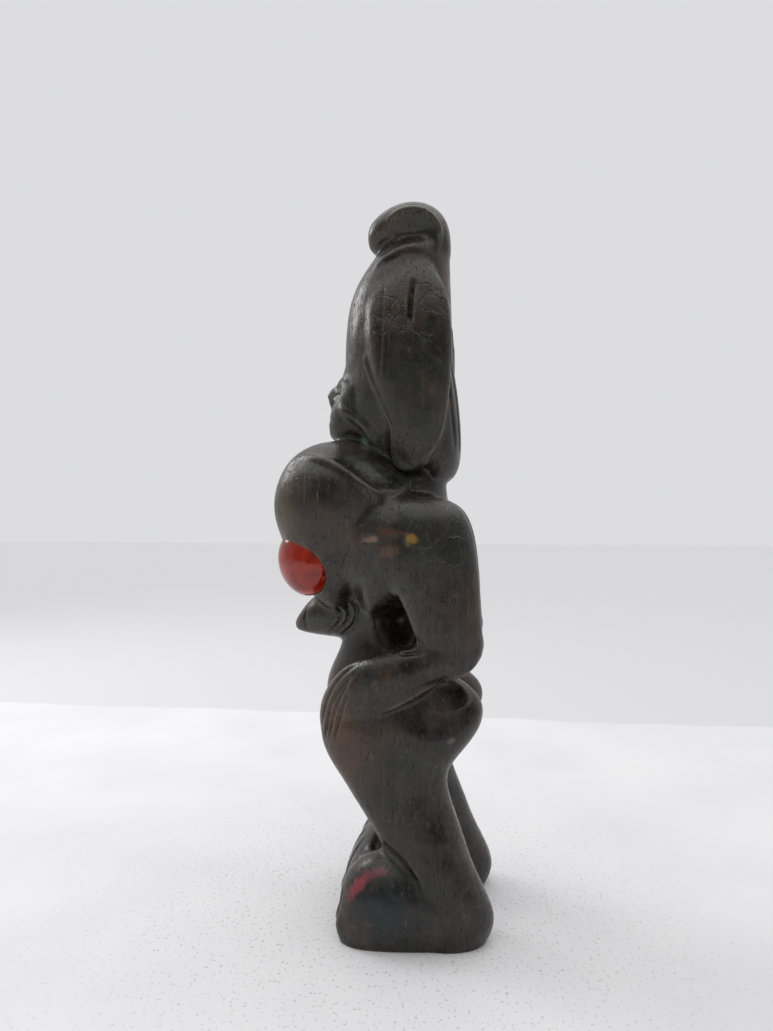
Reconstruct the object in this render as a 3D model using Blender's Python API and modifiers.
"""A hand-carved standing figurine of dark polished wood with two inlaid red oval beads.

The carving is one block of wood: soft forms (head, topknot, chest lobes, arms, legs and feet) are lofted
from oval sections, grown together, smoothed as a polished carving is, and cut flat under the feet.
The beads sit in shallow sockets in the chest lobes. Metres, +Z up, the figure faces -Y.
"""

import math

import bmesh
import bpy
from mathutils import Matrix, Vector

MM = 0.001

# Overall size of the carving. The sections below are drawn at the drawn size and stretched to this.
FIGURE_HEIGHT = 223.5 * MM
FIGURE_WIDTH = 57.0 * MM
FIGURE_DEPTH = 67.0 * MM
DRAWN_HEIGHT = 223.5 * MM
DRAWN_WIDTH = 57.0 * MM
DRAWN_DEPTH = 67.0 * MM
STRETCH = Vector((FIGURE_WIDTH / DRAWN_WIDTH, FIGURE_DEPTH / DRAWN_DEPTH, FIGURE_HEIGHT / DRAWN_HEIGHT))

# The red beads: an oval dome with a flat back, and the socket that holds it.
BEAD_LENGTH = 21.0 * MM
BEAD_WIDTH = 18.4 * MM
BEAD_DOME = 7.0 * MM
BEAD_SUNK = 1.6 * MM
SOCKET_CLEARANCE = 0.3 * MM
BEAD_PLACE = Vector((12.4, -24.0, 109.8)) * MM  # on the left chest lobe, at drawn size
BEAD_FORWARD = math.radians(38)  # from straight sideways towards the front
BEAD_DOWN = math.radians(8)
BEAD_LEAN = math.radians(26)  # the top of the oval leans forwards

# How the surface is made.
RING_SIDES = 16
RING_GROWTH = 3 / (2 + math.cos(math.tau / RING_SIDES))  # undoes what the subdivision pulls a ring in by
VOXEL = 1.5 * MM
POLISH_PASSES = 7
KEPT_FACES = 0.17
SOLE_STOCK = 4.0 * MM  # wood below the sole plane, cut away to leave flat soles

# Oval sections in millimetres. A level section is (z, middle x, middle y, half width, half depth).
SKULL = [
    (138, 0, 9.0, 7.0, 7.0),
    (143, 0, 6.0, 11.0, 13.0),
    (151, 0, 4.6, 13.5, 17.0),
    (161, 0, 4.8, 15.0, 17.8),
    (172, 0, 4.2, 15.5, 17.4),
    (184, 0, 4.0, 15.2, 16.9),
    (194, 0, 4.7, 13.8, 16.0),
    (202, 0, 6.7, 11.5, 13.6),
    (209, 0, 9.3, 9.0, 11.0),
    (215, 0, 11.0, 6.0, 8.0),
]
NAPE_HAIR = [
    (134, 0, 15.6, 6.0, 4.4),
    (138, 0, 16.4, 9.5, 6.6),
    (143, 0, 16.6, 11.5, 7.3),
    (151, 0, 16.0, 12.4, 8.0),
    (166, 0, 14.0, 12.5, 8.6),
    (176, 0, 12.0, 11.0, 8.4),
]
FACE = [
    (147, 0, -8.4, 6.0, 8.0),
    (150, 0, -9.4, 8.0, 9.6),
    (156, 0, -9.2, 9.5, 9.4),
    (163, 0, -7.8, 10.0, 8.4),
    (170, 0, -5.0, 9.5, 7.7),
]
NECK = [
    (124, 0, 9.5, 12.0, 10.6),
    (130, 0, 9.4, 10.5, 10.2),
    (136, 0, 9.0, 9.5, 9.8),
    (144, 0, 6.5, 10.0, 11.0),
]
TORSO = [
    (58, 0, 3.6, 15.0, 16.6),
    (66, 0, 1.6, 16.5, 21.6),
    (74, 0, 0.8, 14.0, 19.6),
    (81, 0, 0.9, 11.4, 15.9),
    (88, 0, 1.5, 10.4, 14.4),
    (95, 0, 2.6, 12.4, 14.8),
    (102, 0, 3.6, 15.8, 15.4),
    (110, 0, 4.6, 18.4, 16.0),
    (119, 0, 6.4, 19.0, 15.0),
    (127, 0, 8.4, 17.0, 12.4),
    (132, 0, 9.4, 12.0, 9.4),
]
CHEST_LOBE = [
    (148.0, 5.5, -12.4, 4.0, 7.0),
    (144, 8.0, -12.0, 9.0, 15.6),
    (138, 9.6, -11.8, 12.2, 20.0),
    (130, 10.4, -12.8, 13.4, 21.4),
    (123, 10.0, -13.8, 13.4, 20.0),
    (116, 9.0, -15.8, 12.4, 15.6),
    (108, 7.4, -16.0, 10.8, 11.8),
    (100, 5.6, -16.0, 9.0, 8.0),
    (93, 3.5, -12.5, 6.0, 4.5),
]
SHOULDER = [
    (93, 10.0, 1.0, 4.0, 6.0),
    (99, 12.4, 1.6, 6.6, 9.0),
    (105, 14.2, 2.0, 8.2, 11.4),
    (112, 15.2, 2.0, 9.2, 13.6),
    (120, 15.2, 2.0, 9.6, 14.0),
    (127, 13.4, 3.0, 8.4, 12.4),
    (131.5, 10.0, 4.0, 6.0, 9.0),
]
UPPER_ARM = [
    (130, 15.5, 12.6, 5.0, 7.0),
    (126, 17.8, 14.2, 7.4, 11.2),
    (118, 20.0, 15.2, 7.2, 13.0),
    (109, 20.9, 15.6, 6.4, 13.8),
    (101, 21.4, 17.6, 6.0, 12.4),
    (95, 21.6, 19.6, 5.8, 10.6),
    (88, 21.8, 20.8, 5.6, 10.0),
    (82, 21.2, 22.6, 4.2, 7.6),
]
LEG = [
    (78, 8.5, 5.0, 8.0, 13.0),
    (71, 10.4, 7.2, 11.2, 22.8),
    (64, 11.6, 6.6, 12.2, 25.0),
    (57, 12.4, 4.2, 11.5, 23.4),
    (50, 13.0, 2.6, 10.5, 18.4),
    (45, 13.4, 3.8, 9.9, 15.6),
    (38, 14.3, 7.2, 9.3, 14.4),
    (30, 15.6, 11.8, 8.9, 13.0),
    (22, 16.9, 15.0, 9.0, 12.4),
    (14, 17.6, 18.5, 9.2, 13.2),
    (7, 17.7, 20.3, 9.2, 14.4),
    (1, 17.4, 19.3, 8.6, 13.2),
    (-4, 17.4, 17.4, 8.0, 11.0),
]
TOE_BLOCK = [
    (-4, 0, -4.8, 15.0, 6.5),
    (2, 0, -5.4, 16.0, 7.8),
    (8, 0, -5.6, 16.0, 7.8),
    (14, 0, -5.2, 16.0, 7.2),
    (20, 0, -4.4, 15.0, 5.2),
    (25, 0, -3.0, 12.0, 3.0),
]
SIDE_LAPPET = [
    (139.6, 11.6, 11.4, 2.4, 3.0),
    (144, 12.8, 10.8, 4.0, 6.0),
    (153, 13.6, 10.8, 4.3, 9.0),
    (165, 14.2, 9.6, 4.3, 11.8),
    (178, 14.2, 8.6, 4.1, 13.2),
    (190, 12.8, 8.2, 3.6, 12.6),
    (198, 10.6, 9.2, 3.0, 8.4),
    (203, 8.6, 9.7, 2.0, 4.0),
]
# An upright section is (y, middle x, middle z, half width, half height).
TOPKNOT = [
    (20.8, 0, 209.0, 4.0, 5.0),
    (18.2, 0, 212.8, 7.0, 7.4),
    (13, 0, 215.4, 9.0, 8.0),
    (7, 0, 215.9, 9.6, 8.1),
    (1, 0, 214.9, 9.0, 7.2),
    (-3.5, 0, 213.2, 7.0, 5.6),
    (-6.0, 0, 212.8, 3.6, 3.0),
]
BELLY_POINT = [
    (-4, 0, 93.0, 10.0, 9.0),
    (-14, 0, 93.2, 8.8, 8.4),
    (-20, 0, 93.0, 7.4, 7.6),
    (-25, 0, 91.6, 5.2, 5.6),
    (-28, 0, 89.8, 3.0, 3.2),
    (-30, 0, 88.8, 1.5, 1.5),
]
FOREARM = [
    (31.2, 20.6, 87.5, 3.0, 4.2),
    (26, 21.3, 85.0, 5.2, 7.0),
    (15, 21.6, 80.4, 5.8, 7.8),
    (5, 20.6, 76.0, 5.6, 9.0),
    (-4, 18.8, 72.6, 5.2, 9.8),
    (-11, 16.2, 69.3, 4.8, 9.8),
    (-16, 13.6, 65.5, 4.0, 7.8),
    (-19.5, 11.5, 62.0, 2.4, 4.8),
]
FOOT = [
    (27, 17.8, 6.0, 8.0, 7.6),
    (18, 18.0, 8.6, 9.6, 13.6),
    (8, 18.4, 8.8, 10.0, 16.4),
    (0, 18.6, 8.4, 10.0, 16.8),
    (-5, 18.4, 7.4, 9.6, 16.0),
    (-9, 18.0, 5.8, 8.4, 13.6),
    (-12.0, 17.6, 4.8, 5.4, 9.2),
]
# Small rounded forms, as (middle x, y, z, half sizes x, y, z).
NOSE = (0, -15.4, 161.4, 2.9, 4.0, 4.4)
LIPS = (0, -14.6, 154.6, 4.4, 3.4, 2.4)
CHIN = (0, -12.8, 149.8, 5.0, 4.4, 3.2)


def new_collection(name):
    collection = bpy.data.collections.new(name)
    bpy.context.scene.collection.children.link(collection)
    return collection


def new_material(name, colour, roughness, metallic=0.0):
    material = bpy.data.materials.new(name)
    material.use_nodes = True
    shader = material.node_tree.nodes["Principled BSDF"]
    shader.inputs["Base Color"].default_value = (*colour, 1)
    shader.inputs["Roughness"].default_value = roughness
    shader.inputs["Metallic"].default_value = metallic
    return material


def add_object(name, bm, collection, material=None):
    bm.normal_update()
    bmesh.ops.recalc_face_normals(bm, faces=bm.faces)
    mesh = bpy.data.meshes.new(name)
    bm.to_mesh(mesh)
    bm.free()
    if material:
        mesh.materials.append(material)
    mesh.shade_smooth()
    thing = bpy.data.objects.new(name, mesh)
    collection.objects.link(thing)
    return thing


def stretched(x, y, z):
    return Vector((x * STRETCH.x, y * STRETCH.y, z * STRETCH.z)) * MM


def bridge_rings(bm, places):
    """One closed form through oval rings: places are matrices that turn a unit circle into each ring."""
    rings = []
    for number, place in enumerate(places):
        capped = number in (0, len(places) - 1)
        circle = bmesh.ops.create_circle(bm, cap_ends=capped, segments=RING_SIDES, radius=1, matrix=place)
        corners = set(circle["verts"])
        rings.append([edge for edge in bm.edges if edge.verts[0] in corners and edge.verts[1] in corners])
    for lower, upper in zip(rings, rings[1:]):
        bmesh.ops.bridge_loops(bm, edges=lower + upper)


def add_level_form(bm, sections, side=1):
    """A form of level oval sections, one above the other."""
    places = []
    for z, x, y, half_width, half_depth in sections:
        size = (*(stretched(half_width, half_depth, 0).xy * RING_GROWTH), 1)
        places.append(Matrix.Translation(stretched(x * side, y, z)) @ Matrix.Diagonal((*size, 1)))
    bridge_rings(bm, places)


def add_upright_form(bm, sections, side=1):
    """A form of upright oval sections, one behind the other."""
    upright = Matrix.Rotation(math.radians(90), 4, "X")
    places = []
    for y, x, z, half_width, half_height in sections:
        half = stretched(half_width, 0, half_height) * RING_GROWTH
        size = Matrix.Diagonal((half.x, half.z, 1, 1))
        places.append(Matrix.Translation(stretched(x * side, y, z)) @ upright @ size)
    bridge_rings(bm, places)


def add_round_form(bm, sizes):
    """An egg-shaped form."""
    x, y, z, half_x, half_y, half_z = sizes
    size = Matrix.Diagonal((*stretched(half_x, half_y, half_z), 1))
    place = Matrix.Translation(stretched(x, y, z)) @ size
    bmesh.ops.create_uvsphere(bm, u_segments=RING_SIDES, v_segments=RING_SIDES // 2, radius=1, matrix=place)


def bead_place(side):
    """The bead's own axes: +Z out of the wood, +Y along its length, origin in the middle of its girth."""
    outward = Vector((math.cos(BEAD_FORWARD) * side, -math.sin(BEAD_FORWARD), -math.tan(BEAD_DOWN))).normalized()
    leaning = Vector((0, -math.sin(BEAD_LEAN), math.cos(BEAD_LEAN)))
    across = leaning.cross(outward).normalized()
    along = outward.cross(across)
    turn = Matrix((across, along, outward)).transposed().to_4x4()
    centre = Vector((BEAD_PLACE.x * side, BEAD_PLACE.y, BEAD_PLACE.z)) * STRETCH
    return Matrix.Translation(centre) @ turn


def make_bead(name, side, collection, material):
    """An oval dome with a flat back, cut from a ball."""
    bm = bmesh.new()
    size = Matrix.Diagonal((BEAD_WIDTH / 2, BEAD_LENGTH / 2, BEAD_DOME, 1))
    bmesh.ops.create_uvsphere(bm, u_segments=40, v_segments=20, radius=1, matrix=size)
    everything = bm.verts[:] + bm.edges[:] + bm.faces[:]
    cut = bmesh.ops.bisect_plane(
        bm, geom=everything, plane_co=(0, 0, -BEAD_SUNK), plane_no=(0, 0, 1), clear_inner=True
    )
    rim = [item for item in cut["geom_cut"] if isinstance(item, bmesh.types.BMEdge)]
    bmesh.ops.contextual_create(bm, geom=rim)
    bm.transform(bead_place(side))
    return add_object(name, bm, collection, material)


def make_socket_cutter(name, side, collection):
    """The bead's girth and its clearance, from the socket's flat floor out into the open."""
    bm = bmesh.new()
    floor = BEAD_SUNK + SOCKET_CLEARANCE
    height = floor + 2 * BEAD_DOME
    girth = (BEAD_WIDTH / 2 + SOCKET_CLEARANCE, BEAD_LENGTH / 2 + SOCKET_CLEARANCE)
    place = Matrix.Translation((0, 0, height / 2 - floor)) @ Matrix.Diagonal((*girth, height, 1))
    bmesh.ops.create_cone(bm, cap_ends=True, segments=40, radius1=1, radius2=1, depth=1, matrix=place)
    bm.transform(bead_place(side))
    return as_cutter(add_object(name, bm, collection))


def make_sole_cutter(collection):
    """Everything below the plane that the feet stand on."""
    bm = bmesh.new()
    size = Matrix.Diagonal((3 * FIGURE_WIDTH, 3 * FIGURE_DEPTH, 4 * SOLE_STOCK, 1))
    place = Matrix.Translation((0, 0, -2 * SOLE_STOCK)) @ size
    bmesh.ops.create_cube(bm, size=1, matrix=place)
    return as_cutter(add_object("sole_cutter", bm, collection))


def as_cutter(thing):
    thing.display_type = "WIRE"
    thing.hide_render = True
    return thing


def make_figure(cutters, collection, material):
    bm = bmesh.new()
    for sections in (SKULL, NAPE_HAIR, FACE, NECK, TORSO, TOE_BLOCK):
        add_level_form(bm, sections)
    for sections in (TOPKNOT, BELLY_POINT):
        add_upright_form(bm, sections)
    for sizes in (NOSE, LIPS, CHIN):
        add_round_form(bm, sizes)
    for side in (1, -1):
        for sections in (SIDE_LAPPET, CHEST_LOBE, SHOULDER, UPPER_ARM, LEG):
            add_level_form(bm, sections, side)
        for sections in (FOREARM, FOOT):
            add_upright_form(bm, sections, side)
    figure = add_object("carved_figure", bm, collection, material)
    soften = figure.modifiers.new("soften", "SUBSURF")
    soften.levels = soften.render_levels = 2
    grow = figure.modifiers.new("grow together", "REMESH")
    grow.mode = "VOXEL"
    grow.voxel_size = VOXEL
    polish = figure.modifiers.new("polish", "SMOOTH")
    polish.iterations = POLISH_PASSES
    fewer = figure.modifiers.new("fewer faces", "DECIMATE")
    fewer.ratio = KEPT_FACES
    for cutter in cutters:
        cut = figure.modifiers.new(cutter.name, "BOOLEAN")
        cut.operation = "DIFFERENCE"
        cut.solver = "EXACT"
        cut.object = cutter
    return figure


def main():
    for thing in list(bpy.data.objects):
        bpy.data.objects.remove(thing)
    parts = new_collection("souvenir_figurine")
    helpers = new_collection("cutters")
    wood = new_material("polished_dark_wood", (0.030, 0.026, 0.022), 0.38)
    red = new_material("red_bead", (0.42, 0.035, 0.012), 0.12)
    cutters = [make_sole_cutter(helpers)]
    for name, side in (("left", 1), ("right", -1)):
        cutters.append(make_socket_cutter(name + "_socket_cutter", side, helpers))
        make_bead(name + "_bead", side, parts, red)
    make_figure(cutters, parts, wood)


main()
